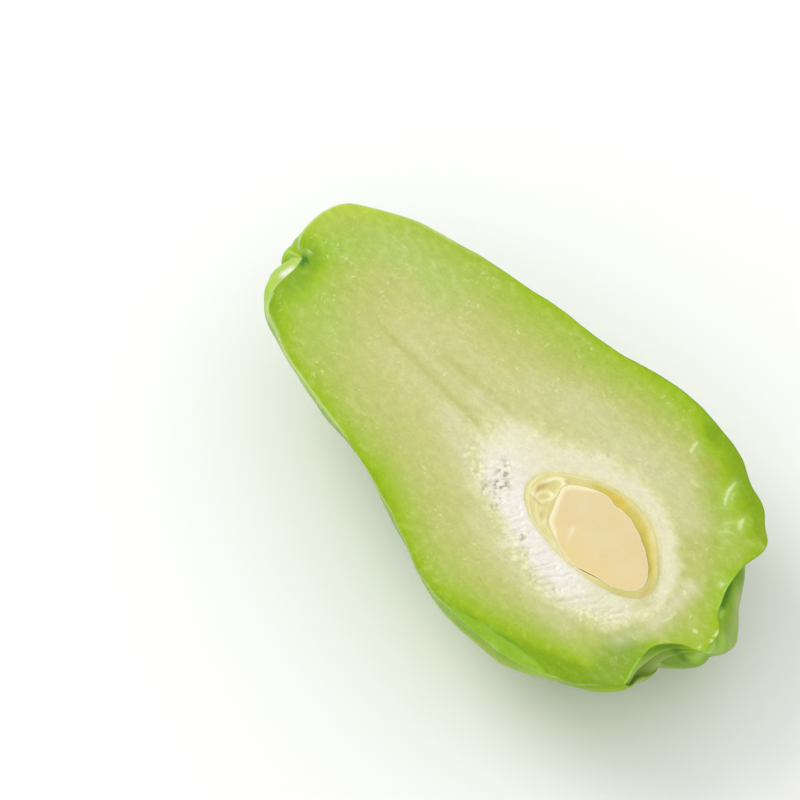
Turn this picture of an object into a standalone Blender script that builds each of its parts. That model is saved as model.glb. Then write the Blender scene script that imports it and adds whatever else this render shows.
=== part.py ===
"""Half of a chayote squash, cut lengthways through its one flat seed and lying on its back.

The whole fruit is modelled first, as a sphere whose vertices are carried onto three edges: the
right and left edges of the cut face, and the middle of the back. Creases are then pressed in
along the surface's normals, and swells raised. A knife takes the upper half away, a cavity holds
the seed, and the back is levelled where the fruit's weight presses it on the table.
"""

import math

import bmesh
import bpy
import numpy as np

MM = 0.001

# The fruit's own axes: X runs from the stem scar to the blossom scar, Y to the right of the cut
# face, and the knife's plane is Z = 0. Everything hangs from one empty that lifts it onto the table.

# Each row is one station from stem to blossom. Each pair is (along the axis, away from the axis)
# in mm, for the right edge, the left edge and the back.
STATIONS = [
    ((0, 0), (0, 0), (0, 0)),  # stem scar, at the bottom of its pit
    ((-3.4, 1.8), (1, 2.5), (-4, 2.2)),  # wall of the pit
    ((-6.6, 9.5), (2, 8.5), (-7, 7.5)),  # lip round the pit
    ((-4.2, 18.4), (4, 14.6), (-3.5, 15)),  # shoulder
    ((8.5, 26.9), (12.5, 19), (9, 21.5)),
    ((24, 32.3), (26, 22.4), (25, 25.5)),  # neck
    ((46, 37), (47, 25), (44, 31)),
    ((67, 40.4), (65, 29.5), (60, 36)),  # waist
    ((84, 44.3), (79, 34.8), (75, 38.2)),
    ((98, 46.6), (93, 37.6), (91, 36.6)),  # widest
    ((113, 44.6), (110.5, 36.6), (107, 34)),
    ((127, 39.8), (125, 34.3), (122, 30.5)),
    ((137.4, 32.3), (137.6, 28.6), (135.5, 25.5)),  # corner of the end lobes
    ((140.4, 22), (144.4, 21.4), (144, 19)),  # tips of the end lobes
    ((141, 14.5), (141, 14), (145.5, 13.5)),  # fold round the blossom scar
    ((143.2, 9.8), (139.6, 8.4), (146, 9)),
    ((147.9, 5), (143.2, 3), (147, 4.5)),
    ((148.6, 0), (148.6, 0), (148.6, 0)),  # blossom scar, on its nub
]
SCAR_DROP = 0.6  # how far both scars lie below the knife's plane, in mm, as it passes just above them
SEGMENTS = 84  # round the axis
RINGS = 76  # from scar to scar

# Creases and swells that run the length of the fruit. Each row holds its angle round the axis at
# the stem and at the blossom end, in degrees, then its width and the radius of its bottom or crest
# in mm, then its depth in mm at each of FOLD_STATIONS, the shares of the way from scar to scar. A
# swell's depth is negative. Angle 0 is the right edge, -90 the back's middle, -180 the left edge.
FOLD_STATIONS = (0.0, 0.04, 0.1, 0.2, 0.35, 0.55, 0.7, 0.8, 0.87, 0.92, 0.96, 1.0)
FOLDS = [
    ((-38, -14), 5.5, 1.0, (0, 0.2, 0.4, 0.5, 0.8, 1.6, 3.2, 5.2, 6.0, 4.5, 2.0, 0)),
    ((-68, -69), 6.5, 1.2, (0, 0.4, 1.4, 1.8, 2.4, 3.2, 4.0, 4.4, 4.0, 2.0, 0.8, 0)),
    ((-118, -103), 7.0, 1.4, (0, 2.2, 2.2, 1.6, 2.0, 3.0, 4.0, 5.0, 5.0, 3.2, 1.8, 0)),
    ((-150, -163), 6.5, 1.2, (0, 0.0, 0.0, 0.0, 0.3, 0.9, 1.4, 4.4, 4.8, 2.4, 1.0, 0)),
    ((-44, -56), 9.0, 9.0, (0, 0.0, 0.0, 0.0, 0.0, -0.2, -0.6, -2.0, -4.4, -5.0, -2.4, 0)),
    ((-157, -170), 7.0, 6.0, (0, -0.6, -0.8, -0.2, -0.6, -1.0, -2.0, 0.0, 0.0, 0.0, 0.0, 0)),
    ((-142, -129), 9.0, 9.0, (0, 0.0, 0.0, 0.0, 0.0, 0.0, 0.2, 1.4, 3.6, 5.0, 2.6, 0)),
]
FOLD_SHARE = 0.17  # of the distance from the axis: the most that a fold's width may be
FOLD_WANDER = 3.0  # degrees that a fold strays from its line

# Shallow lumps: waves of these lengths, in directions drawn once from a fixed seed.
LUMP_SEED = 11
LUMP_WAVES = 9
LUMP_LENGTHS = (22.0, 48.0)
LUMP_HEIGHT = 0.22

# The seed, in the knife's plane, in mm. Each almond has a centre, a half length, half widths to the
# right and to the left, a half thickness, and how pointed, blunt and slanted its ends are.
COAT = {
    "centre": (106.5, 1.2),
    "length": 21.8,
    "right": 14.2,
    "left": 9.3,
    "thick": 9.5,
    "point": 1.8,
    "blunt": 0.06,
}
KERNEL = {
    "centre": (108.4, 2.3),
    "length": 16.4,
    "right": 9.6,
    "left": 9.0,
    "thick": 6.8,
    "blunt": 0.12,
    "slant": 0.34,
}
ALMOND_SEGMENTS = 40
ALMOND_RINGS = 26
GAP = 0.3  # between the seed's pieces and what holds them

FLAT_SPOT_DEPTH = 0.7  # how far the table flattens the back, in mm

SKIN_GREEN = (0.25, 0.45, 0.06, 1)
COAT_YELLOW = (0.80, 0.66, 0.22, 1)
KERNEL_CREAM = (0.86, 0.72, 0.44, 1)


def clear_scene():
    """Empties the file, as the part stands alone in it."""
    for obj in list(bpy.data.objects):
        bpy.data.objects.remove(obj, do_unlink=True)


def through(points, at, where):
    """A smooth curve through points, which lie at the values at, read at the values where.

    Each stretch is a cubic that passes a point along the line between its two neighbours.
    """
    points = np.asarray(points, float)
    at = np.asarray(at, float)
    slopes = np.gradient(points, at, axis=0)
    left = np.clip(np.searchsorted(at, where, side="right") - 1, 0, len(at) - 2)
    span = (at[left + 1] - at[left])[:, None]
    u = (where - at[left])[:, None] / span
    blend = u * u * (3 - 2 * u)
    ends = points[left] * (1 - blend) + points[left + 1] * blend
    leave = slopes[left] * span * u * (1 - u) ** 2
    arrive = slopes[left + 1] * span * u * u * (1 - u)
    return ends + leave - arrive


def meridians(t):
    """Right, left and back edges at the shares t of the way from scar to scar, in mm."""
    edges = np.array(STATIONS, float)
    steps = np.linalg.norm(np.diff(edges, axis=0), axis=2).mean(axis=1)
    at = np.concatenate([[0], np.cumsum(steps)]) / steps.sum()
    return [through(edges[:, i], at, t) for i in range(3)]


def smooth_body(t, angle):
    """The fruit before its creases: points in mm for shares t and angles round the axis.

    Round the axis an edge fades into the next by the squares of the sine and cosine, as the
    radius of a nearly round ellipse does.
    """
    right, left, back = meridians(t)
    side = np.where(np.cos(angle)[:, None] > 0, right, left)
    share = (np.sin(angle) ** 2)[:, None]
    along, away = (side * (1 - share) + back * share).T
    drop = SCAR_DROP * np.cos(math.pi * t) ** 2
    return np.stack([along, away * np.cos(angle), away * np.sin(angle) - drop], axis=1)


def fold_depth(t, angle, points):
    """How far the folds press the surface in, in mm: deepest on a fold's line, fading sideways."""
    away = np.hypot(points[:, 1], points[:, 2])
    depth = np.zeros(len(t))
    for number, (line, width, bottom, depths) in enumerate(FOLDS):
        wander = FOLD_WANDER * np.sin(9 * t + 2.3 * number) * np.sin(math.pi * t)
        turned = angle - np.radians(line[0] + (line[1] - line[0]) * t + wander)
        turned = (turned + math.pi) % (2 * math.pi) - math.pi
        narrow = np.minimum(1, FOLD_SHARE * away / width) + 1e-6
        aside = np.hypot(away * turned / narrow, bottom) - bottom
        depth += np.interp(t, FOLD_STATIONS, depths) * np.exp(-aside / width)
    return depth


def lumps(points):
    """Gentle waves across the skin, in mm: a sum of sines, each in its own direction."""
    draw = np.random.default_rng(LUMP_SEED)
    heading = draw.normal(size=(LUMP_WAVES, 3))
    heading /= np.linalg.norm(heading, axis=1)[:, None]
    heading *= 2 * math.pi / draw.uniform(*LUMP_LENGTHS, LUMP_WAVES)[:, None]
    phase = draw.uniform(0, 2 * math.pi, LUMP_WAVES)
    return LUMP_HEIGHT * np.sin(points @ heading.T + phase).sum(axis=1)


def sphere_mesh(name, segments, rings):
    """A sphere of radius 1 as a mesh."""
    bm = bmesh.new()
    bmesh.ops.create_uvsphere(bm, u_segments=segments, v_segments=rings, radius=1)
    mesh = bpy.data.meshes.new(name)
    bm.to_mesh(mesh)
    bm.free()
    return mesh


def read_points(mesh):
    """The mesh's vertices as an array."""
    flat = np.empty(len(mesh.vertices) * 3, np.float32)
    mesh.vertices.foreach_get("co", flat)
    return flat.reshape(-1, 3).astype(float)


def write_points(mesh, points):
    """Puts the array back into the mesh."""
    mesh.vertices.foreach_set("co", points.astype(np.float32).ravel())
    mesh.update()


def face_outwards(mesh):
    """Turns every face outwards, if the reshaping has left them facing in."""
    bm = bmesh.new()
    bm.from_mesh(mesh)
    if bm.calc_volume(signed=True) < 0:
        bmesh.ops.reverse_faces(bm, faces=bm.faces)
    bm.normal_update()
    bm.to_mesh(mesh)
    bm.free()


def fruit_mesh():
    """The whole fruit, in metres, from a sphere whose north pole becomes the stem scar."""
    mesh = sphere_mesh("fruit_half", SEGMENTS, RINGS)
    ball = read_points(mesh)
    t = np.arccos(np.clip(ball[:, 2], -1, 1)) / math.pi
    # Turned by half a segment, so that the knife's plane runs through the middle of faces.
    angle = np.arctan2(ball[:, 1], ball[:, 0]) + math.pi / SEGMENTS
    body = smooth_body(t, angle)
    write_points(mesh, body * MM)
    face_outwards(mesh)
    normals = np.array([vertex.normal for vertex in mesh.vertices])
    inwards = fold_depth(t, angle, body) - lumps(body) * np.sin(math.pi * t)
    write_points(mesh, (body - normals * inwards[:, None]) * MM)
    mesh.shade_smooth()
    return mesh


def almond_mesh(name, centre, length, right, left, thick, point=2.0, blunt=0.0, slant=0.0, grow=0.0):
    """A flat almond, in metres: a sphere stretched to its half sizes plus grow on every side.

    A point under 2 sharpens both ends, blunt widens the end by the stem and narrows the other,
    and slant leans the end by the stem.
    """
    mesh = sphere_mesh(name, ALMOND_SEGMENTS, ALMOND_RINGS)
    ball = read_points(mesh)
    # The sphere's poles go to the two ends of the seed.
    along, across, down = ball[:, 2], ball[:, 0], ball[:, 1]
    inside = np.maximum(1 - along**2, 1e-9)
    width = np.sqrt((1 - np.abs(along) ** point) / inside) * (1 - blunt * along)
    width[inside < 1e-6] = 1
    y = across * width * (np.where(across > 0, right, left) + grow)
    x = along * (length + grow) + slant * y * np.minimum(along, 0)
    z = down * width * (thick + grow)
    write_points(mesh, np.stack([centre[0] + x, centre[1] + y, z], axis=1) * MM)
    face_outwards(mesh)
    mesh.shade_smooth()
    return mesh


def material(name, colour, roughness, see_through=0.0):
    """A plain Principled material in the piece's own colour."""
    made = bpy.data.materials.new(name)
    made.use_nodes = True
    shader = made.node_tree.nodes["Principled BSDF"]
    shader.inputs["Base Color"].default_value = colour
    shader.inputs["Roughness"].default_value = roughness
    shader.inputs["Subsurface Weight"].default_value = see_through
    return made


def piece(mesh, collection, parent, finish=None):
    """An object for a mesh, hung from the empty that lifts the fruit."""
    obj = bpy.data.objects.new(mesh.name, mesh)
    collection.objects.link(obj)
    obj.parent = parent
    if finish:
        mesh.materials.append(finish)
    return obj


def cutter(mesh, collection, parent=None):
    """A helper that only cuts: it shows as wires and isn't part of the object."""
    obj = piece(mesh, collection, parent)
    obj.hide_render = True
    obj.display_type = "WIRE"
    return obj


def block_mesh(name, side, centre):
    """A cube about a centre, in metres."""
    bm = bmesh.new()
    bmesh.ops.create_cube(bm, size=side)
    bmesh.ops.translate(bm, vec=centre, verts=bm.verts)
    mesh = bpy.data.meshes.new(name)
    bm.to_mesh(mesh)
    bm.free()
    return mesh


def cut(obj, tool):
    """Takes the tool's volume away from the object."""
    boolean = obj.modifiers.new("cut_" + tool.name, "BOOLEAN")
    boolean.operation = "DIFFERENCE"
    boolean.solver = "EXACT"
    boolean.object = tool


def new_collection(name):
    """An empty collection in the scene."""
    made = bpy.data.collections.new(name)
    bpy.context.scene.collection.children.link(made)
    return made


def build():
    """Makes the three pieces and the helpers that cut them."""
    clear_scene()
    parts = new_collection("chayote_half")
    cutters = new_collection("cutters")

    fruit = fruit_mesh()
    kept = read_points(fruit)
    kept = kept[kept[:, 2] <= 0]
    low, high = kept.min(axis=0), kept.max(axis=0)

    # The origin is under the middle of the box, on the table.
    lift = -low[2] - FLAT_SPOT_DEPTH * MM
    rest = bpy.data.objects.new("chayote_rest", None)
    rest.location = (-(low[0] + high[0]) / 2, -(low[1] + high[1]) / 2, lift)
    parts.objects.link(rest)

    room = 0.3  # larger than the fruit every way
    middle = (low[0] + high[0]) / 2
    knife = cutter(block_mesh("knife", room, (middle, 0, room / 2)), cutters, rest)
    table = cutter(block_mesh("table", room, (0, 0, -room / 2)), cutters)
    cavity = cutter(almond_mesh("seed_cavity", **COAT, grow=GAP), cutters, rest)
    bed = cutter(almond_mesh("kernel_bed", **KERNEL, grow=GAP), cutters, rest)

    fruit_finish = material("skin_and_flesh", SKIN_GREEN, 0.35, 0.1)
    half = piece(fruit, parts, rest, fruit_finish)
    for tool in (knife, cavity, table):
        cut(half, tool)

    coat_finish = material("seed_coat", COAT_YELLOW, 0.3, 0.3)
    coat = piece(almond_mesh("seed_coat", **COAT), parts, rest, coat_finish)
    for tool in (knife, bed):
        cut(coat, tool)

    kernel_finish = material("seed_kernel", KERNEL_CREAM, 0.5, 0.1)
    kernel = piece(almond_mesh("seed_kernel", **KERNEL), parts, rest, kernel_finish)
    cut(kernel, knife)


build()
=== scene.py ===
# %% [markdown]
# # Half of a chayote squash
#
# A chayote is a pear-shaped squash with a folded green skin, pale wet flesh and one flat seed. This
# one was cut lengthways through the seed and lies cut face up. Its solids, one each for the fruit,
# the seed's coat and the kernel, are replaced by finer closed surfaces from the same formulas.

# %% Load the solids
import math

import bmesh
import bpy
import numpy as np
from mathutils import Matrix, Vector


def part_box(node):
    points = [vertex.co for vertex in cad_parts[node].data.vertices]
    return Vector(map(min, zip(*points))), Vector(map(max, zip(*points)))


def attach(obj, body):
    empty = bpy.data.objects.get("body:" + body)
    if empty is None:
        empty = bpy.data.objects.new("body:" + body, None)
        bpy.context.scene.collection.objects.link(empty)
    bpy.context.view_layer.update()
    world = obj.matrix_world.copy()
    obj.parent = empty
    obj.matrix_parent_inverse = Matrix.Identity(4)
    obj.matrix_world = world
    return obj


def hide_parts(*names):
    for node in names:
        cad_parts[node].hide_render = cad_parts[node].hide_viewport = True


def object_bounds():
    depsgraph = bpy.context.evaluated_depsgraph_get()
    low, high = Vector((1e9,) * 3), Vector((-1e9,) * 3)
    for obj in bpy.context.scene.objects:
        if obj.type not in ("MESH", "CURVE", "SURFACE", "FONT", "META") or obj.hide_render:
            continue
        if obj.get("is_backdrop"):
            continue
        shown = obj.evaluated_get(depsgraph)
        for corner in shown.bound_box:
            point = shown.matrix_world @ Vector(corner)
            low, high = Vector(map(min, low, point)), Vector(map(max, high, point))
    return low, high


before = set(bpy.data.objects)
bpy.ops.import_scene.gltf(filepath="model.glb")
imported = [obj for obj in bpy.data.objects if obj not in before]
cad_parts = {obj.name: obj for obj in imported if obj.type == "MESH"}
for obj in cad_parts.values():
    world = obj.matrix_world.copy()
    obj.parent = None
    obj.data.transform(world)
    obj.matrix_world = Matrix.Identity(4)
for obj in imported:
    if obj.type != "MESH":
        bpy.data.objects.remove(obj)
solid_low, solid_high = (np.array(corner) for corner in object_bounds())
print("the solids reach from", solid_low.round(4), "to", solid_high.round(4), "m")

# %% [markdown]
# ## Axes and units
#
# Shapes are worked out in millimetres on the fruit's own axes: X runs from the stem scar to the
# blossom scar, Y to the right of the cut face, and the knife passed through Z = 0. The table is as
# far below the knife's plane as the solids are tall.

# %% Units and the table
MM = 0.001
DEPTH = (solid_high[2] - solid_low[2]) / MM
print("the half is", round(DEPTH, 2), "mm deep")

# %% [markdown]
# ## A surface from a grid of points
#
# Every piece is a function of two parameters, worked out on a grid. Where a row of the grid shrinks
# to one point, as at a scar, its faces repeat a vertex, which is dropped and leaves triangles.


# %% Faces from a grid, and a mesh from faces
def grid_faces(numbers):
    """The four-sided faces between the rows and columns of a table of vertex numbers."""
    corners = (numbers[:-1, :-1], numbers[:-1, 1:], numbers[1:, 1:], numbers[1:, :-1])
    return np.stack(corners, axis=-1).reshape(-1, 4)


def closed(numbers):
    """The same table with its first column repeated at the end, so that the grid joins up."""
    return np.concatenate([numbers, numbers[:, :1]], axis=1)


def in_scene(name, data):
    """A new object in the scene that holds a mesh, a lamp or a camera."""
    made = bpy.data.objects.new(name, data)
    bpy.context.scene.collection.objects.link(made)
    return made


def make_mesh(name, points, faces, finishes, values, finish_of_face=0):
    """A smooth mesh piece at the origin, in metres, from points in fruit millimetres."""
    fresh = faces != np.roll(faces, 1, axis=1)
    kept = fresh.sum(axis=1) >= 3
    used, faces = np.unique(faces[kept], return_inverse=True)
    faces, fresh = faces.reshape(-1, 4), fresh[kept]
    sides = fresh.sum(axis=1)
    mesh = bpy.data.meshes.new(name)
    mesh.vertices.add(len(used))
    mesh.vertices.foreach_set("co", to_row(points[used]).astype(np.float32).ravel())
    mesh.loops.add(int(sides.sum()))
    mesh.loops.foreach_set("vertex_index", faces[fresh].astype(np.int32))
    mesh.polygons.add(len(faces))
    mesh.polygons.foreach_set("loop_start", (np.cumsum(sides) - sides).astype(np.int32))
    finish_of_face = np.broadcast_to(finish_of_face, len(kept))[kept]
    mesh.polygons.foreach_set("material_index", finish_of_face.astype(np.int32))
    mesh.update(calc_edges=True)
    for key, value in values.items():
        layer = mesh.attributes.new(key, "FLOAT", "POINT")
        layer.data.foreach_set("value", np.asarray(value, np.float32).ravel()[used])
    for finish in finishes:
        mesh.materials.append(finish)
    mesh.shade_smooth()
    solid = bmesh.new()
    solid.from_mesh(mesh)
    if solid.calc_volume(signed=True) < 0:
        mesh.flip_normals()
    open_edges = sum(not edge.is_manifold for edge in solid.edges)
    solid.free()
    print(name, "has", int((sides - 2).sum()), "triangles and", open_edges, "open edges")
    return in_scene(name, mesh)


# %% [markdown]
# ## The whole fruit
#
# The fruit's section is nearly round, so three edges settle its form: the right and left edges of
# the cut face and the middle of the back. A smooth curve runs through each edge's stations, and
# round the axis one edge fades into the next. Sculpting would do too, but a formula can be repeated.

# %% Stations along the three edges
# Each row is one station from stem to blossom, as (along, away) in mm for right, left and back.
STATIONS = np.array([
    ((0, 0), (0, 0), (0, 0)),  # stem scar, at the bottom of its pit
    ((-3.4, 1.8), (1, 2.5), (-4, 2.2)),  # wall of the pit
    ((-6.6, 9.5), (2, 8.5), (-7, 7.5)),  # lip round the pit
    ((-4.2, 18.4), (4, 14.6), (-3.5, 15)),  # shoulder
    ((8.5, 26.9), (12.5, 19), (9, 21.5)),
    ((24, 32.3), (26, 22.4), (25, 25.5)),  # neck
    ((46, 37), (47, 25), (44, 31)),
    ((67, 40.4), (65, 29.5), (60, 36)),  # waist
    ((84, 44.3), (79, 34.8), (75, 38.2)),
    ((98, 46.6), (93, 37.6), (91, 36.6)),  # widest
    ((113, 44.6), (110.5, 36.6), (107, 34)),
    ((127, 39.8), (125, 34.3), (122, 30.5)),
    ((137.4, 32.3), (137.6, 28.6), (135.5, 25.5)),  # corner of the end lobes
    ((140.4, 22), (144.4, 21.4), (144, 19)),  # tips of the end lobes
    ((141, 14.5), (141, 14), (145.5, 13.5)),  # fold round the blossom scar
    ((143.2, 9.8), (139.6, 8.4), (146, 9)),
    ((147.9, 5), (143.2, 3), (147, 4.5)),
    ((148.6, 0), (148.6, 0), (148.6, 0)),  # blossom scar, on its nub
])


def through(points, at, where):
    """A curve through points at the values at: each stretch is a cubic with its neighbours' slopes."""
    slopes = np.gradient(points, at, axis=0)
    left = np.clip(np.searchsorted(at, where, side="right") - 1, 0, len(at) - 2)
    span = (at[left + 1] - at[left])[..., None]
    u = (where - at[left])[..., None] / span
    ease = u * u * (3 - 2 * u)
    ends = points[left] * (1 - ease) + points[left + 1] * ease
    return ends + span * (slopes[left] * u * (1 - u) ** 2 - slopes[left + 1] * u * u * (1 - u))


def round_body(t, angle):
    """The fruit before its creases, for shares t from scar to scar and angles round the axis.

    The distances along and away mix the side's edge and the back by cosine and sine squared, and
    the point is (along, away times cosine, away times sine).
    """
    steps = np.linalg.norm(np.diff(STATIONS, axis=0), axis=2).mean(axis=1)
    at = np.concatenate([[0], np.cumsum(steps)]) / steps.sum()
    right, left, back = (through(STATIONS[:, side], at, t) for side in range(3))
    side = np.where(np.cos(angle)[..., None] > 0, right, left)
    share = (np.sin(angle) ** 2)[..., None]
    along, away = np.moveaxis(side * (1 - share) + back * share, -1, 0)
    return np.stack([along, away * np.cos(angle), away * np.sin(angle)], axis=-1)


# %% [markdown]
# ## Creases and swells
#
# A chayote's skin is drawn into deep lengthways folds that meet at the blossom end. Each is a line
# that wanders along the fruit, where the surface is pressed in along its own normals, most on the
# line and less to the sides. A negative depth raises a swell instead.

# %% The folds
FOLD_STATIONS = (0, 0.04, 0.1, 0.2, 0.35, 0.55, 0.7, 0.8, 0.87, 0.92, 0.96, 1)
FOLDS = (  # angle at the stem and at the blossom in degrees, width, radius of the bottom, depths in mm
    ((-38, -14), 5.5, 1, (0, 0.2, 0.4, 0.5, 0.8, 1.6, 3.2, 5.2, 6, 4.5, 2, 0)),
    ((-68, -69), 6.5, 1.2, (0, 0.4, 1.4, 1.8, 2.4, 3.2, 4, 4.4, 4, 2, 0.8, 0)),
    ((-118, -103), 7, 1.4, (0, 2.2, 2.2, 1.6, 2, 3, 4, 5, 5, 3.2, 1.8, 0)),
    ((-150, -163), 6.5, 1.2, (0, 0, 0, 0, 0.3, 0.9, 1.4, 4.4, 4.8, 2.4, 1, 0)),
    ((-44, -56), 9, 9, (0, 0, 0, 0, 0, -0.2, -0.6, -2, -4.4, -5, -2.4, 0)),
    ((-157, -170), 7, 6, (0, -0.8, -1, -0.2, -0.2, -0.6, -2, 0, 0, 0, 0, 0)),
    ((-142, -129), 9, 9, (0, 0, 0, 0, 0, 0, 0.2, 1.4, 3.6, 5, 2.6, 0)),
)
FOLD_SHARE = 0.17  # of the distance from the axis: the most that a fold's width may be
FOLD_WANDER = 3  # degrees that a fold strays from its line


def fold_depth(t, angle, away):
    """Depth in mm: each fold's depth at t, times e to the minus distance aside over its width."""
    depth = np.zeros(np.broadcast(t, angle).shape)
    for number, (line, width, bottom, depths) in enumerate(FOLDS):
        wander = FOLD_WANDER * np.sin(9 * t + 2.3 * number) * np.sin(math.pi * t)
        turned = angle - np.radians(line[0] + (line[1] - line[0]) * t + wander)
        turned = (turned + math.pi) % (2 * math.pi) - math.pi
        narrow = np.minimum(1, FOLD_SHARE * away / width) + 1e-6
        aside = np.hypot(away * turned / narrow, bottom) - bottom
        depth += np.interp(t, FOLD_STATIONS, depths) * np.exp(-aside / width)
    return depth


# %% [markdown]
# ## Dents, swells and lumps
#
# Where a fruit lay against its neighbours it is a little flatter or fuller. Each dent is one
# ellipsoidal push on the round body, and a negative depth swells it. The skin also waves gently: a
# sum of sine waves, each in a random direction, gives soft lumps that never repeat.

# %% Dents and lumps
DENTS = (  # centre, reach along each axis and depth in mm
    ((121.5, 42.5, -1), (4.5, 4.5, 5), 1), ((128.5, 39, -1), (3.5, 3.5, 5), -0.6),
    ((140.5, 22, -1), (4, 5, 5), 1), ((140.5, -26.5, -2), (8, 7, 8), 2),
    ((144.5, -20, -8.5), (6, 7, 6), 3.6), ((145, -8, -12), (6, 6, 7), 3),
    ((142, -2.5, -15), (4, 3, 4), 1.4), ((144.5, 2.5, -13), (4, 4, 4), -1.6),
    ((144.5, 15.5, -13.5), (5, 5, 5), -1.5), ((137, 32, -1), (3.5, 4, 5), -1.1),
    ((142, 13, -1), (4, 4, 3.5), -1), ((146, 8, -1), (3.5, 3.5, 3), -1.3), ((85, -37, -2), (8, 4, 5), -1.2),
    ((0.5, -10.5, -4), (3.5, 3.5, 3.5), -1.6), ((-4.5, 17, -1), (4, 5, 4), -0.8),
    ((46, -25.5, 0), (15, 5, 4), -1.3), ((20, -21, 0), (7, 5, 4), -0.8), ((36, -23, -9), (16, 6, 5), 1),
    ((-1.5, -5.5, -5.5), (4, 4.5, 3.5), -2.2), ((-6.5, 4, -3.5), (3.5, 3.5, 3.5), -0.9),
)
LUMPS = (11, 9, (22, 48), 0.22)  # seed, how many waves, their lengths and height in mm
DIMPLES = (4, 14, (5, 13), 0.028)


def dent_depth(points):
    """Sum over the dents of depth times e to the minus squared share of the reach."""
    gone = [(((points - centre) / size) ** 2).sum(axis=-1) for centre, size, _ in DENTS]
    return sum(depth * np.exp(-out) for (_, _, depth), out in zip(DENTS, gone))


def waves(points, seed, count, lengths, height):
    """Sum of count sines of the position, each with its own direction, length and phase."""
    draw = np.random.default_rng(seed)
    heading = draw.normal(size=(count, 3))
    heading /= np.linalg.norm(heading, axis=1)[:, None]
    heading *= 2 * math.pi / draw.uniform(*lengths, count)[:, None]
    phase = draw.uniform(0, 2 * math.pi, count)
    return height * np.sin(points @ heading.T + phase).sum(axis=-1)


# %% [markdown]
# ## The skin's surface
#
# The skin is a grid of rows from scar to scar and columns from the cut's left edge, under the back,
# to its right edge. A few steps of Newton's method find the angle at which the knife met each row.

# %% The skin as a function of two parameters
ROWS = 331
COLUMNS = 101
EDGE_DROP = 0.22  # how far the cut edge is rounded down, in mm
LEFT_DROP = 0.25  # the share of it on the left, where the blade came out
NEWTON_STEPS = 12


def skin_surface(t, angle):
    """Points of the finished skin and how deep the folds are there, in mm.

    The round body is moved along its inward normals by the folds less the lumps. That normal is the
    cross product of two small steps, along the fruit and round it.
    """
    body = round_body(t, angle)
    step = 1e-4
    along = round_body(np.clip(t + step, 0, 1), angle) - round_body(np.clip(t - step, 0, 1), angle)
    around = round_body(t, angle + step) - round_body(t, angle - step)
    inward = np.cross(along, around)
    inward /= np.linalg.norm(inward, axis=-1, keepdims=True) + 1e-12
    folds = fold_depth(t, angle, np.hypot(body[..., 1], body[..., 2]))
    lumps = waves(body, *LUMPS) + waves(body, *DIMPLES)
    pressed = folds - lumps * np.sin(math.pi * t) + dent_depth(body)
    return body + inward * pressed[..., None], folds


def edge_angle(t, start, height):
    """The angle near start at which the skin reaches the given height."""
    angle = np.full(t.shape, float(start))
    for _ in range(NEWTON_STEPS):
        point, _ = skin_surface(t, angle)
        reach = np.hypot(point[..., 1], point[..., 2]) * np.cos(angle)
        angle -= np.where(np.abs(reach) > 0.05, (point[..., 2] - height) / reach, 0) * 0.8
    return angle


# %% Work out the skin
# Where the blade slipped the edge lies lower: (share from scar to scar, mm), right and left.
SLIPS = (
    ((0.62, 0), (0.68, 0.8), (0.74, 1.4), (0.8, 1.3), (0.84, 0.8), (0.885, 0)),
    ((0.6, 0), (0.65, 0.5), (0.69, 1.1), (0.73, 1), (0.79, 0)),
)
shares = np.linspace(0, 1, ROWS)
off_scars = np.clip(shares * (1 - shares) / 0.02, 0, 1)  # 0 at a scar and 1 a little away from it
right_slip, left_slip = (
    through(np.array(slip)[:, 1:], np.array(slip)[:, 0], np.clip(shares, slip[0][0], slip[-1][0]))[:, 0]
    for slip in SLIPS
)
right_height = -EDGE_DROP * off_scars - right_slip
left_height = -EDGE_DROP * LEFT_DROP * off_scars - left_slip
right_angle = edge_angle(shares, 0, right_height)
left_angle = edge_angle(shares, -math.pi, left_height)
angles = left_angle[:, None] + (right_angle - left_angle)[:, None] * np.linspace(0, 1, COLUMNS)
skin, skin_folds = skin_surface(np.broadcast_to(shares[:, None], angles.shape), angles)
skin[:, 0, 2] = left_height
skin[:, -1, 2] = right_height
skin[[0, -1]] = STATIONS[[0, -1], 0, 0][:, None, None] * (1, 0, 0)
skin[..., 2] = np.maximum(skin[..., 2], -DEPTH)
skin_low, skin_high = skin.min(axis=(0, 1)), skin.max(axis=(0, 1))
print("the skin measures", (skin_high - skin_low).round(2), "mm")

# %% [markdown]
# ## From the fruit's axes to the table
#
# The solids stand with the middle of their box over the origin. The finer surface is put in the
# same place, and held inside the solids' box.


# %% Place the fruit on the table
fruit_low, fruit_high = (np.array(corner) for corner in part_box("fruit_half"))
shift = (fruit_low + fruit_high) / 2 / MM - (skin_low + skin_high) / 2
shift[2] = fruit_high[2] / MM


def to_row(points):
    """Fruit millimetres to metres over the table, kept inside the box of the solids."""
    return np.clip((points + shift) * MM, fruit_low, fruit_high)


print("the stem scar is", shift.round(2), "mm from the origin")

# %% [markdown]
# ## Edges on the cut face
#
# The seed's coat, its kernel and the pale pith round them each have an edge that runs once round the
# seed. Seen from the seed's centre that is one distance for each direction, so a smooth curve
# through a few pairs is enough, and rings can be laid between any two edges.

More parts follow.
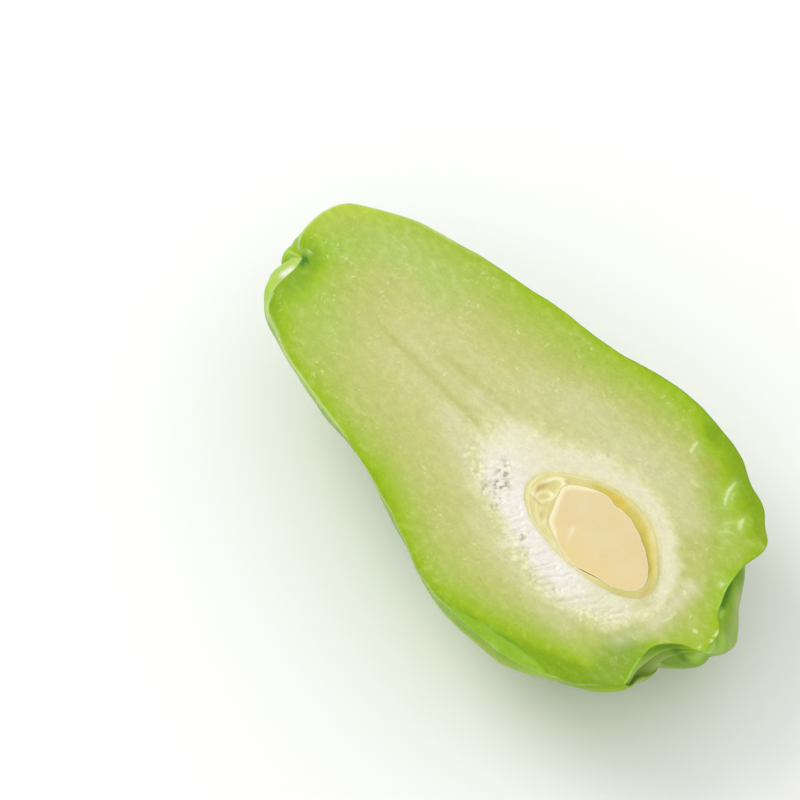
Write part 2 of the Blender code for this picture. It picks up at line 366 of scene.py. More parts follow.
# %% The three edges
# Each pair is a direction in degrees, from the blossom end towards the right, and a distance in mm.
COAT_EDGE = (
    (-170, 21), (-160, 18.4), (-145, 14.6), (-130, 11.8), (-105, 9.8), (-81, 9.6), (-56, 10.7),
    (-36, 13.6), (-18, 18.2), (-6, 21.2), (3, 21.6), (12, 20.2), (25, 18), (44, 16.1), (61, 15.1),
    (76, 14.5), (94, 14), (112, 14.3), (129, 15.2), (147, 16.9), (160, 18.9), (170, 20.9), (180, 21.9),
)
KERNEL_EDGE = (
    (-171, 12.3), (-154, 11.4), (-140, 9.8), (-127, 8.9), (-109, 8.4), (-86, 8.7), (-65, 9.2), (-48, 10),
    (-33, 11.9), (-23, 14.6), (-11, 17.6), (-4, 18.8), (3, 18.8), (13, 17.1), (23, 15.1), (38, 13),
    (56, 11.5), (75, 10.8), (94, 10.5), (104, 10.5), (113, 11.5), (127, 12.5), (139, 13.4), (149, 14.4),
    (158, 15.4), (165, 15.4), (173, 14.2),
)
PITH_EDGE = (
    (-176, 37.4), (-169, 36.2), (-162, 31.8), (-154, 27), (-143, 23), (-130, 20.8), (-117, 19.4),
    (-101, 18.4), (-85, 18.2), (-67, 18.6), (-53, 20.4), (-41, 22.2), (-30, 23.4), (-19, 24.6),
    (-8, 25.4), (5, 24.6), (23, 23.2), (39, 20.4), (54, 19.4), (72, 19.2), (92, 19.4), (108, 20.6),
    (124, 21.9), (137, 23), (151, 25.8), (161, 30.2), (169, 35), (174, 37.5), (179, 37.5),
)
SEED_CENTRE = np.array((106.5, 1.2))
COAT_DEPTH = 9.5
KERNEL_DEPTH = 6.8
GAP = 0.02  # between the coat and the flesh


def reach(edge, direction):
    """How far an edge is in each direction: a curve through its pairs, laid three times round."""
    degrees, away = np.array(edge, float).T
    around = np.radians(np.concatenate([degrees - 360, degrees, degrees + 360]))
    return through(np.tile(away, 3)[:, None], around, direction)[..., 0]


def raised(plan, height):
    """Points of the plan, each at its height."""
    return np.concatenate([plan, np.broadcast_to(height, plan.shape[:-1])[..., None]], axis=-1)


def bowl_rings(heading, rim_reach, rim_height, depth, count):
    """Rings from the bottom up to just under the rim: reach by cosine, depth by sine."""
    up = np.linspace(1, 0, count + 1)[:-1, None] * math.pi / 2
    ring = SEED_CENTRE + (rim_reach * np.cos(up))[..., None] * heading
    return raised(ring, rim_height * np.cos(up) - depth * np.sin(up))


# %% [markdown]
# ## Soft shapes on the cut face
#
# Whatever lies on a surface, a stain or a hollow, has a soft edge. Four shapes are enough: a step
# that follows an S, a band between two steps, a leaning ellipse and a straight stroke.


# %% Step, band, ellipse and stroke
def smooth(low, high, x):
    """0 below low, 1 above high, and an S between them."""
    u = np.clip((x - low) / (high - low), 0, 1)
    return u * u * (3 - 2 * u)


def band(x, low, risen, falling, high):
    """1 between risen and falling, 0 beyond low and high, and an S on either side."""
    return smooth(low, risen, x) * smooth(high, falling, x)


def bell(x):
    """e to the minus square of the number."""
    return np.exp(-(x**2))


def off_centre(x, y, centre, half, lean):
    """Distance from an ellipse's centre, where its edge is at 1. Its lean is in degrees."""
    cosine, sine = math.cos(math.radians(lean)), math.sin(math.radians(lean))
    u = ((x - centre[0]) * cosine + (y - centre[1]) * sine) / half[0]
    v = ((y - centre[1]) * cosine - (x - centre[0]) * sine) / half[1]
    return np.hypot(u, v)


def spots(x, y, table, none_at, full_at):
    """The strongest of a table's ellipses, as (centre, half lengths, lean, strength)."""
    return np.max([power * smooth(none_at, full_at, off_centre(x, y, *at)) for *at, power in table], axis=0)


def strokes(points, table):
    """The strongest of a table's strokes: a bell of the distance to the line between two ends."""
    out = []
    for start, end, size, power in table:
        along = np.subtract(end, start)
        share = np.clip((points - start) @ along / (along @ along), 0, 1)
        off = np.linalg.norm(points - start - share[..., None] * along, axis=-1)
        out.append(power * bell(off / size))
    return np.max(out, axis=0)


# %% [markdown]
# ## Uneven relief
#
# Cut flesh waves a little, and the pith round the seed is torn and bubbly. Such relief needs noise:
# a table of random heights on a square lattice, read between its points with a smooth step, and
# added up at finer and finer spacings.


# %% Lattice noise
def noise(x, y, spacing, seed, octaves=1):
    """Random heights from -1 to 1 on a lattice, each octave half as wide and half as high."""
    table = np.random.default_rng(seed).uniform(-1, 1, (256, 256))
    total = np.zeros(np.broadcast(x, y).shape)
    for octave in range(octaves):
        u = x / spacing * 2**octave + 100.5 + 17 * octave
        v = y / spacing * 2**octave + 100.5 + 31 * octave
        i, j = np.floor(u).astype(int), np.floor(v).astype(int)
        a, b = smooth(0, 1, u - i), smooth(0, 1, v - j)
        near = table[i % 256, j % 256] * (1 - a) + table[(i + 1) % 256, j % 256] * a
        far = table[i % 256, (j + 1) % 256] * (1 - a) + table[(i + 1) % 256, (j + 1) % 256] * a
        total += (near * (1 - b) + far * b) / 2**octave
    return total


# %% [markdown]
# ## The cut face
#
# Rings run from the skin's edge to the rim of the seed's cavity, straight towards the seed's centre,
# so the face joins the skin vertex by vertex and needs no Boolean. The first ones round the cut
# edge, and nearly half of them cross the pith, which has the finest relief.

# %% Rings of the cut face
FLESH_RINGS = 42
PITH_RINGS = 40
BOWL_RINGS = 8
EDGE_INSETS = (0.06, 0.16, 0.34, 0.7)  # mm in from the skin's edge


def towards(direction):
    """A step of length 1 in each direction."""
    return np.stack([np.cos(direction), np.sin(direction)], axis=-1)


rim = np.concatenate([skin[:, -1], skin[-2:0:-1, 0]])
to_rim = (rim[:, :2] - SEED_CENTRE).T
rim_reach, direction = np.hypot(*to_rim), np.arctan2(*to_rim[::-1])
heading = towards(direction)
cavity_reach = reach(COAT_EDGE, direction) + GAP
pith_reach = reach(PITH_EDGE, direction)

insets = np.broadcast_to(np.array(EDGE_INSETS)[:, None], (len(EDGE_INSETS), len(rim)))
fine_from = np.minimum(cavity_reach + 1.2 * (pith_reach - cavity_reach), 0.94 * rim_reach)
outer_share, inner_share = (np.linspace(0, 1, count + 1)[1:, None] for count in (FLESH_RINGS, PITH_RINGS))
reaches = np.concatenate([
    rim_reach - insets,
    (rim_reach - EDGE_INSETS[-1]) * (1 - outer_share) + fine_from * outer_share,
    fine_from * (1 - inner_share) + (cavity_reach + 0.05) * inner_share,
    cavity_reach[None],
])
face_xy = SEED_CENTRE + reaches[..., None] * heading
x, y = face_xy[..., 0], face_xy[..., 1]
print("the cut face has", reaches.shape[0], "rings of", reaches.shape[1], "points")


# %% Distance from the skin and place in the pith
def nearest(points, outline):
    """Distance from each point to the nearest of the outline's points."""
    gap = points[:, None, :] - outline[None, :, :]
    return np.sqrt((gap**2).sum(axis=-1).min(axis=1))


from_skin = np.array([nearest(ring, rim[:, :2]) for ring in face_xy])
from_skin[: len(EDGE_INSETS)] = np.minimum(from_skin[: len(EDGE_INSETS)], insets)
in_pith = (reaches - cavity_reach) / (pith_reach - cavity_reach)  # 0 at the seed, 1 at the pith's edge
print("the flesh is at most", from_skin.max().round(1), "mm from the skin")

# %% [markdown]
# ## Relief of the cut face
#
# The pith is rough: wet bumps lie across it on the left, and it is torn open in three places, with
# holes and white crumbs. A bump stands wherever a noise, drawn out one way, is far from zero.

# %% Bumps and holes in the pith
BUMP_LEAN = math.radians(58)
TORN = (  # centre, half lengths, lean in degrees, strength
    ((80.3, -5), (7.4, 2.5), -47, 1), ((95, -11.3), (2.4, 1.2), -80, 0.8),
    ((91.8, 18.4), (2, 1.1), 60, 0.5),
)
along_bump = x * math.cos(BUMP_LEAN) + y * math.sin(BUMP_LEAN)
aside_bump = y * math.cos(BUMP_LEAN) - x * math.sin(BUMP_LEAN)
domes = np.minimum(1.7 * np.abs(noise(along_bump / 2.3, aside_bump, 1.8, 8, 2)), 1) ** 0.8
left_side = smooth(0.1, -0.3, np.sin(direction))
bumpy = band(in_pith, 0, 0.3, 0.95, 1.4) * (0.16 + 0.84 * left_side)

crumbs = noise(x, y, 1, 21, 2)
by_edge = band(in_pith, 0.75, 0.9, 1, 1.25) * left_side
torn = np.maximum(spots(x, y, TORN, 1.2, 0.4), 0.6 * by_edge * smooth(0, 0.7, noise(x, y, 5, 5)))
# The holes are also painted grey, as the shade inside them.
holes = smooth(0, 0.5, crumbs) * torn
white_crumbs = smooth(-0.1, -0.6, crumbs) * torn
print("torn pith is", (100 * (torn > 0.5).mean()).round(1), "percent of the face's points")

# %% [markdown]
# ## Where the blade slipped
#
# At the fuller corner of the blossom end the blade left a smooth facet, a little lower than the
# rest, with four soft swells. At the lower left it left a narrow bevel with a dark seam at its foot.

# %% Facet, swells and bevel
FACET_EDGE = ((104, 39.5), (108, 34.2), (111, 31.8), (114.6, 30.6), (119, 28.4), (128, 21.3), (136.7, 13))
SWELLS = (  # centre, half lengths, lean in degrees, height in mm
    ((110.2, 34.6), (5.4, 3.6), -20, 0.35), ((123.2, 36.4), (4.2, 3.2), -62, 0.45),
    ((131, 32), (3, 2.6), -60, 0.4), ((131.5, 26), (5, 3.4), -48, 0.3),
)
BEVEL = ((96, 0), (103, 2.4), (109, 3.7), (116, 3.7), (123, 2.4), (130, 0))  # X and width in mm
past_edge = 0.75 * (y - np.interp(x, *np.array(FACET_EDGE).T, left=60)) + 0.35 * noise(x, y, 5, 14, 2)
facet = smooth(0, 1.6, past_edge) * smooth(103, 107, x)
down_facet = np.clip(past_edge / np.maximum(past_edge[0], 1), 0, 1)
swells = sum(high * smooth(1.15, 0.6, off_centre(x, y, *shape)) for *shape, high in SWELLS)
swells = swells * smooth(0.2, 2.5, from_skin)

on_left = y < 0
bevel_wide = (np.interp(x, *np.array(BEVEL, float).T) + 0.25 * noise(x, y, 4, 71, 2)) * on_left
bevel = smooth(-0.3, 0.5, bevel_wide - from_skin) * band(x, 95, 100, 125, 130) * on_left
seam = bell((from_skin - bevel_wide) / 0.35) * band(x, 99, 104, 121, 127) * on_left
seam *= np.clip(0.7 + noise(x, y, 3, 83, 2), 0, 1)
down_bevel = np.clip(1 - from_skin / np.maximum(bevel_wide, 0.8), 0, 1)
print("the bevel is up to", bevel_wide.max().round(1), "mm wide")

# %% [markdown]
# ## Thin wet ridges with painted highlights
#
# The blade also raised thin ridges of flesh, which stay wet. Each is a slightly bent line, thickest in
# its middle and ragged, and its pale colour is a painted highlight, where the wet ridge catches the
# light. Round one on the facet the flesh is a fresher green, a painted sheen.

# %% The ridges
# The pale colour of each ridge is a painted highlight, a glint on the wet flesh.
GLINT_RIDGES = (  # one end, the other end, bend and half width in mm, strength
    ((104.6, 38.4), (105.8, 35), -0.3, 0.5, 1), ((118.9, 38), (121.9, 31.9), -0.5, 0.5, 1),
    ((121, 36), (121.9, 34.2), -0.2, 0.35, 0.35), ((127.6, 33), (129.4, 30.2), -0.4, 0.6, 0.8),
    ((125.6, 28), (126.9, 30.3), 0.3, 0.6, 0.35), ((126.8, 25.6), (128.6, 27.8), 0.3, 0.6, 0.3),
    ((111.2, 30.1), (114.6, 30.8), -0.3, 0.5, 0.45), ((137.1, 16.6), (138.3, 15.8), 0.1, 0.6, 0.8),
    ((133, 8.1), (134.1, 7.2), 0.1, 0.45, 0.9), ((136, 2.3), (135.6, -1.8), 0.4, 0.5, 0.7),
    ((146.9, 7), (147.3, 5), 0.1, 0.4, 1), ((147.6, 4.3), (147.8, 3.3), 0.1, 0.4, 0.9),
    ((142.6, 2.6), (143.8, 2.4), 0.1, 0.45, 0.9), ((146.6, 1), (147.2, -0.3), 0.3, 0.35, 0.9),
    ((-0.2, 2.9), (-1, 1.8), 0.3, 0.4, 0.9), ((0.8, 16.8), (1.9, 16), 0.1, 0.5, 0.7),
)
ridges, glow = np.zeros((2, *x.shape))
ragged = 1 + 0.5 * noise(x, y, 0.9, 77, 2)
for (x0, y0), (x1, y1), bend, width, power in GLINT_RIDGES:
    long = math.hypot(x1 - x0, y1 - y0)
    along = ((x - x0) * (x1 - x0) + (y - y0) * (y1 - y0)) / long**2
    aside = ((y - y0) * (x1 - x0) - (x - x0) * (y1 - y0)) / long
    belly = 4 * along * (1 - along)
    beyond = np.maximum(np.abs(along - 0.5) - 0.5, 0) * long
    thin = width * (0.35 + 0.65 * np.clip(belly, 0, 1)) * ragged
    off = np.hypot(aside - bend * np.maximum(belly, 0), beyond)
    ridges = np.maximum(ridges, power * bell(off / np.maximum(thin, 0.1)))
    # A fresher green round each ridge on the facet: a painted sheen.
    glow = np.maximum(glow, power**0.5 * bell(off / 1.5) * facet)
print(len(GLINT_RIDGES), "ridges")

# %% [markdown]
# ## Strands and the stem's pit
#
# Strands of firmer flesh run from the stem to the seed, some darker and sunk, some paler and raised.
# At the stem itself lies a small pit with knobs round it. In the sum of all the relief, whatever
# comes near the skin fades out, and the cut edge is rolled over on a quarter circle.

# %% Strands, pit and all the relief
STRANDS = (  # one end, the other end, half width in mm, strength
    ((24, 1.6), (67, 1.2), 1.2, -0.8), ((40, 7.6), (74, 10.4), 1.5, -0.65),
    ((40, -1.4), (70, -1.8), 1.5, 0.6), ((26, 4.6), (64, 4.8), 1.5, 0.5),
    ((34, 12.4), (76, 15.6), 1.8, 0.35),
)
strands = np.zeros(x.shape)
for (x0, y0), (x1, y1), width, power in STRANDS:
    middle = y0 + (y1 - y0) * (x - x0) / (x1 - x0) + 0.5 * noise(x, 0, 7, 9, 2)
    strands += power * band(x, x0 - 3, x0 + 6, x1 - 6, x1 + 5) * bell((y - middle) / width)
pit = smooth(1.5, 0.5, off_centre(x, y, (0.9, -0.5), (1.3, 1), -35) + 0.4 * noise(x, y, 1.2, 17, 2))
knobs = smooth(6, 1.5, np.hypot(x, y)) * noise(x, y, 1.6, 44, 2)

relief = -0.06 + noise(x, y, 9, 3, 3) * 0.05 - 0.38 * bumpy * (1 - domes) - 0.4 * holes
relief += 0.15 * white_crumbs + 0.04 * strands - 0.8 * pit - 0.25 * np.abs(knobs)
relief = np.minimum(relief * smooth(0, 1.2, from_skin), 0)
slip = np.concatenate([right_slip, left_slip[-2:0:-1]])
relief -= slip * np.where(y > 0, down_facet, down_bevel**1.3)
relief = np.minimum(relief + swells + 0.15 * ridges * smooth(0.3, 1, from_skin), -0.01)
edge_roll = 1 - np.clip(from_skin / EDGE_INSETS[-1], 0, 1)
edge_fade = np.concatenate([off_scars, LEFT_DROP * off_scars[-2:0:-1]])
relief -= EDGE_DROP * (1 - np.sqrt(1 - edge_roll**2)) * edge_fade
print("the relief is", (-relief.min()).round(2), "mm deep")


# %% The cavity, and the vertex numbers of the whole piece
def pinched(grid):
    """Vertex numbers for a grid of points, where the first and last rows shrink to one vertex each."""
    numbers = np.arange(grid[..., 0].size).reshape(grid.shape[:2])
    numbers[0] = numbers[0, 0]
    numbers[-1] = numbers[-1, 0]
    return numbers


bowl = bowl_rings(heading, cavity_reach, relief[-1], COAT_DEPTH + GAP, BOWL_RINGS)[::-1]
inner = np.concatenate([raised(face_xy, relief), bowl])
skin_numbers = pinched(skin)
rim_numbers = np.concatenate([skin_numbers[:, -1], skin_numbers[-2:0:-1, 0]])
inner_numbers = skin_numbers.size + np.arange(inner[..., 0].size).reshape(inner.shape[:2])
inner_numbers[-1] = inner_numbers[-1, 0]
skin_faces = grid_faces(skin_numbers)
inner_faces = grid_faces(closed(np.concatenate([rim_numbers[None], inner_numbers])))
print("the fruit has", len(skin_faces), "faces of skin and", len(inner_faces), "of flesh")

# %% [markdown]
# ## Writing a finish as sums
#
# A finish is a tree of nodes, and most of them do arithmetic. One small class wraps a node's output,
# so that a sum written in Python adds its Math nodes. One function adds any other node.


# %% The class and the function
def add_node(tree, kind, settings=None, sockets=None, output=0):
    """Adds one node. Settings come first, and a socket takes a number, a colour or another output."""
    made = tree.nodes.new(kind)
    for key, value in (settings or {}).items():
        if key == "stops":
            ramp = made.color_ramp
            while len(ramp.elements) < len(value):
                ramp.elements.new(1)
            for element, (position, colour) in zip(ramp.elements, value):
                element.position, element.color = position, colour
        else:
            setattr(made, key, value)
    named = {socket.identifier: socket for socket in made.inputs}
    for key, value in (sockets or {}).items():
        socket = made.inputs[key] if isinstance(key, int) else named[key]
        if isinstance(value, Output):
            tree.links.new(value.socket, socket)
        else:
            socket.default_value = value
    return Output(tree, made.outputs[output])


class Output:
    """One output of a node. Arithmetic on it adds a Math node and gives that node's output."""

    def __init__(self, tree, socket):
        self.tree = tree
        self.socket = socket

    def math(self, operation, first, second):
        return add_node(self.tree, "ShaderNodeMath", {"operation": operation}, {0: first, 1: second})

    def __add__(self, other):
        return self.math("ADD", self, other)

    def __sub__(self, other):
        return self.math("SUBTRACT", self, other)

    def __rsub__(self, other):
        return self.math("SUBTRACT", other, self)

    def __mul__(self, other):
        return self.math("MULTIPLY", self, other)

    __radd__ = __add__
    __rmul__ = __mul__


# %% Rises, blends and what the mesh carries
def rise(value, low, high, bottom=0, top=1):
    """The value's smooth rise from bottom at low to top at high."""
    settings = {"interpolation_type": "SMOOTHSTEP"}
    ends = {"Value": value, "From Min": low, "From Max": high, "To Min": bottom, "To Max": top}
    return add_node(value.tree, "ShaderNodeMapRange", settings, ends)


def blend(share, first, second):
    """The first colour where the share is 0 and the second where it is 1."""
    ends = {"Factor_Float": share, "A_Color": first, "B_Color": second}
    return add_node(share.tree, "ShaderNodeMix", {"data_type": "RGBA"}, ends, output=2)


def lit(colour, light):
    """A colour made lighter or darker by a number that varies."""
    ends = {"Vector": colour, "Scale": light}
    return add_node(light.tree, "ShaderNodeVectorMath", {"operation": "SCALE"}, ends)


def measure(tree, name):
    """A number that the mesh carries at every vertex."""
    return add_node(tree, "ShaderNodeAttribute", {"attribute_name": name}, output=2)


# %% [markdown]
# ## Grain, specks and colours
#
# Fine variation comes from noise over the piece's Object coordinates. Colours are written as a
# screen shows them, and the surface needs a little less, because the white room adds its reflection.

# %% Grain, specks and colours
LIGHT = 0.90  # how much darker than its colour on a screen a surface has to be under these lights
HAZE = 0.022  # what the white room's reflection adds to every colour


def place(tree):
    """The point on the piece, in metres."""
    return add_node(tree, "ShaderNodeTexCoord", output=3)


def grain(tree, size, detail, stretch=(1, 1, 1)):
    """Cloudy noise from 0 to 1 with blobs of about the given size in mm, stretched along the axes."""
    ends = {"Vector": place(tree), "Scale": [1 / length for length in stretch]}
    where = add_node(tree, "ShaderNodeMapping", {}, ends)
    return add_node(
        tree, "ShaderNodeTexNoise", {}, {"Vector": where, "Scale": 1 / (size * MM), "Detail": detail}
    )


def specks(tree, spacing, radius):
    """1 inside small round specks and 0 outside them, one to each cell of the given spacing in mm."""
    ends = {"Vector": place(tree), "Scale": 1 / (spacing * MM)}
    far = add_node(tree, "ShaderNodeTexVoronoi", {}, ends)
    return rise(far, radius / spacing, radius / spacing * 0.5)


def shade(red, green, blue):
    """A colour as a screen shows it, 0 to 255, made the colour that a surface needs."""
    screen = np.array([red, green, blue]) / 255
    bright = np.where(screen > 0.04045, ((screen + 0.055) / 1.055) ** 2.4, screen / 12.92)
    return (*np.maximum(bright - HAZE, 0.002) * LIGHT, 1)


def laid_over(tree, colour, layers):
    """A colour under more and more layers, each as (the mesh's number, its strength, its colour)."""
    for name, strength, own in layers:
        colour = blend(measure(tree, name) * strength, colour, shade(*own))
    return colour


# %% The shader of a finish
def new_finish(name):
    """A material with only its Principled shader: the material, the tree and the shader."""
    made = bpy.data.materials.new(name)
    made.use_nodes = True
    return made, made.node_tree, made.node_tree.nodes["Principled BSDF"]


def settle(shader, numbers, varying):
    """Sets the shader's own numbers, and links what varies over the surface."""
    for key, value in numbers.items():
        shader.inputs[key].default_value = value
    for key, value in varying.items():
        value.tree.links.new(value.socket, shader.inputs[key])


def bump(tree, height, depth):
    """A normal from a height of 0 to 1 that stands for the given depth in mm."""
    return add_node(tree, "ShaderNodeBump", {}, {"Height": height, "Distance": depth * MM})


# %% [markdown]
# ## The flesh
#
# Cut chayote flesh is wet and a little see-through, full green just under the skin and paler towards
# an almost white pith. The mesh carries a number for how far in each point is, in mm, so the colours
# follow the rim, and the blossom end's lobes and the flesh by the stem stay green for longer.

# %% How far in each point of the face is
# Each pair is a direction from the seed in degrees and the width of the full green rim in mm.
GREEN_RIM = (
    (-180, 2), (-178, 2.6), (-172, 2.6), (-168, 1.4), (-158, 0), (-149, 1.4), (-134, 0.4), (-115, 2),
    (-95, 3.2), (-80, 5.6), (-65, 6), (-50, 5.4), (-36, 3.5), (-22, 1.5), (-10, -1.5), (3, -0.6), (12, 0.2),
    (20, 0.2), (32, 0), (39, 0.2), (44, 2), (49, 4.4), (60, 5.2), (78, 5), (92, 2.6), (105, 0.8), (125, 0),
    (150, -0.4), (162, -1.8), (170, -4), (176, -4), (179, 0.5), (180, 2),
)
GREEN_SPOTS = (  # centre, half lengths, lean in degrees, mm nearer to the skin
    ((130, -28), (9.5, 3.8), 22, 3.5), ((5.2, -8), (7, 3.2), -72, 2.6), ((105.3, 42), (4, 2.2), -35, 4.5),
    ((0.6, 4), (3.6, 1.9), -20, 2.2), ((4.4, -2.4), (4.2, 2.2), -60, 2.2),
)
skipped = np.interp(np.degrees(direction), *np.array(GREEN_RIM, float).T)
pace = 1 + 0.5 * smooth(3, -5, y) + 0.3 * smooth(86, 106, x) * smooth(-5, 3, y)
by_skin = (from_skin - skipped) * pace
by_stem = 0.95 * np.hypot(x, 0.85 * y) - 3.4 - 3.5 * smooth(0, -6, y)
nearer = np.clip((by_stem - by_skin) / 8 + 0.5, 0, 1)
inwards = by_stem * (1 - nearer) + by_skin * nearer - 4 * nearer * (1 - nearer)
inwards -= 0.35 * facet * np.maximum(inwards - 3, 0)
inwards = np.maximum(inwards, -4) - 2.5 * smooth(5, 1, np.hypot(x - 2, y - 1))
for *shape, nearer_by in GREEN_SPOTS:
    inwards -= nearer_by * bell(off_centre(x, y, *shape))
print("the face runs from", inwards.min().round(1), "to", inwards.max().round(1), "mm in")

# %% [markdown]
# The flesh's colour by depth is a row of stops, stirred by two noises so that no ring shows. Over it
# lie the marks that the mesh carries, the topmost last.

# %% Colours of the flesh
flesh, tree, shader = new_finish("flesh")
IN_COLOURS = (  # mm in, and the flesh's colour there
    (-5, (140, 176, 4)), (-3, (144, 180, 6)), (-1, (155, 190, 24)), (1.5, (167, 199, 54)),
    (3, (173, 200, 71)), (4.5, (178, 201, 83)), (7, (184, 202, 95)), (10.5, (191, 203, 108)),
    (13.5, (197, 205, 119)), (17, (201, 206, 125)), (21, (205, 208, 132)), (27, (210, 211, 142)),
)
IN_LOW, IN_SPAN = IN_COLOURS[0][0], IN_COLOURS[-1][0] - IN_COLOURS[0][0]
patches = grain(tree, 11, 3, stretch=(1.6, 1, 1))
mottle = grain(tree, 1.9, 3, stretch=(1.5, 1, 1))
fine = grain(tree, 0.6, 3, stretch=(1.3, 1, 1))
inside = measure(tree, "inwards")
reached = inside + ((patches - 0.5) * 8 + (mottle - 0.5) * 4) * rise(inside, -2, 9, 0.3, 1)
stops = [((mm - IN_LOW) / IN_SPAN, shade(*colour)) for mm, colour in IN_COLOURS]
ends = {"Fac": (reached - IN_LOW) * (1 / IN_SPAN)}
colour = add_node(tree, "ShaderNodeValToRGB", {"stops": stops}, ends)
colour = laid_over(tree, colour, (
    # The pale and the bright green lines along the cut edge are painted highlights.
    ("dusky", 0.85, (144, 177, 66)), ("sunny", 0.7, (196, 214, 82)), ("peel", 0.8, (206, 228, 150)),
    ("green_peel", 0.75, (166, 222, 92)), ("bevel", 0.85, (156, 198, 62)), ("seam", 0.6, (100, 156, 24)),
    ("skin_line", 0.7, (124, 160, 48)), ("pit", 1, (66, 146, 20)), ("greener", 0.4, (169, 212, 96)),
    ("milky", 0.5, (226, 223, 184)),
))
paleness = measure(tree, "pale") + (mottle - 0.5) * 0.5 + (patches - 0.5) * 0.3
pith_colour = blend(measure(tree, "whiter"), shade(238, 234, 199), shade(247, 243, 232))
beside = blend(measure(tree, "olive"), shade(238, 228, 162), shade(216, 213, 146))
colour = blend(rise(paleness, 0, 0.5), colour, shade(224, 223, 168))
colour = blend(rise(paleness, 0.4, 1), colour, pith_colour)
colour = blend(measure(tree, "by_coat"), colour, beside)
# Painted shade: grey in the holes.
colour = laid_over(tree, colour, [("holes", 0.7, (180, 180, 146))])
strand = measure(tree, "strands")
colour = blend(rise(strand, -0.05, -1) * 0.45, colour, shade(182, 188, 100))
colour = blend(rise(strand, 0.05, 1) * 0.5, colour, shade(224, 224, 172))
# Small pale specks: painted glints on the wet flesh.
glint_specks = rise(grain(tree, 1, 1), 0.6, 0.72) * rise(grain(tree, 6, 2), 0.46, 0.66)
colour = blend(glint_specks * measure(tree, "beaded"), colour, shade(238, 243, 190))
crumbling = rise(grain(tree, 1.5, 1), 0.48, 0.66) * measure(tree, "crumbs")
colour = blend(crumbling, colour, shade(246, 246, 206))
# Over the rest: painted sheen round the ridges, their painted highlights, and painted shade on the rim at
# the lower right of the blossom end.
colour = laid_over(tree, colour, (
    ("tawny", 1, (178, 182, 70)), ("glow", 0.5, (184, 218, 116)), ("ridges", 0.85, (230, 245, 178)),
    ("burnt", 0.35, (126, 156, 0)),
))

# %% Flesh finish
# The rim with painted shade is also made rougher.
wetness, rim_shade = measure(tree, "wet"), measure(tree, "burnt")
settle(
    shader,
    {
        "IOR": 1.36, "Specular IOR Level": 0.3, "Coat Roughness": 0.1, "Subsurface Weight": 0.18,
        "Subsurface Radius": (1, 1, 0.45), "Subsurface Scale": 2 * MM,
    },
    {
        "Base Color": lit(colour, (mottle - 0.5) * 0.22 + (fine - 0.5) * 0.22 + 1),
        "Roughness": 0.42 - wetness * 0.22 + rim_shade * 0.4 + (fine - 0.5) * 0.1,
        "Coat Weight": 0.06 + wetness * 0.6 + glint_specks * 0.3,
        "Normal": bump(tree, fine * 0.5 + mottle * 0.5, 0.14),
    },
)
print("flesh has", len(tree.nodes), "nodes")

# %% [markdown]
# ## The skin
#
# The skin is smooth and has a waxy gloss. Its green is uneven: darker down in the folds, a painted
# shade, and lighter in long streaks, with fine pale dots where it breathes. A Bump node adds its pores.

# %% Skin finish
skin_finish, tree, shader = new_finish("skin")
clouds = grain(tree, 16, 4, stretch=(2.5, 1, 1))
streaks = grain(tree, 5, 5, stretch=(4, 1, 1))
pores = grain(tree, 0.9, 2)
colour = blend(rise(clouds * 0.6 + streaks * 0.4, 0.36, 0.64), shade(126, 170, 20), shade(162, 196, 44))
# Painted shade: darker down in the folds.
colour = blend(rise(measure(tree, "fold"), 2, 6.5) * 0.6, colour, shade(74, 138, 20))
colour = blend(specks(tree, 2.6, 0.3) * 0.35, colour, shade(180, 205, 110))
# From the strokes: a painted reflection, painted light on crests and painted shade in hollows.
colour = laid_over(tree, colour, (
    ("grey", 1, (170, 194, 106)), ("bright", 1, (180, 222, 92)), ("shaded", 1, (62, 124, 0)),
))
# Paler along the left edge below the cut: a painted reflection.
edge = measure(tree, "pale_skin")
colour = blend(rise(edge, 0, 0.5) * 0.85, colour, shade(170, 212, 72))
colour = blend(rise(edge, 0.5, 1) * 0.8, colour, shade(186, 211, 106))
# Painted white highlights on the lips by the stem.
colour = laid_over(tree, colour, [("waxy", 1, (236, 246, 222))])
settle(
    shader,
    {
        "IOR": 1.38, "Specular IOR Level": 0.2, "Coat Weight": 0.08, "Coat Roughness": 0.14,
        "Subsurface Weight": 0.08, "Subsurface Radius": (0.6, 1, 0.2), "Subsurface Scale": 2 * MM,
    },
    {
        "Base Color": lit(colour, (streaks - 0.5) * 0.25 + 1),
        "Roughness": 0.34 + (clouds - 0.5) * 0.16,
        "Normal": bump(tree, pores * 0.5 + streaks * 0.5, 0.12),
    },
)
print("skin has", len(tree.nodes), "nodes")

# %% [markdown]
# ## Marks on the cut face
#
# The numbers that the two finishes read are stored at the vertices. Sap dries to a milky film in
# bands round the pith and by the blossom end, the flesh is greener by the stem, and where the blade
# slipped it has turned tawny in patches.

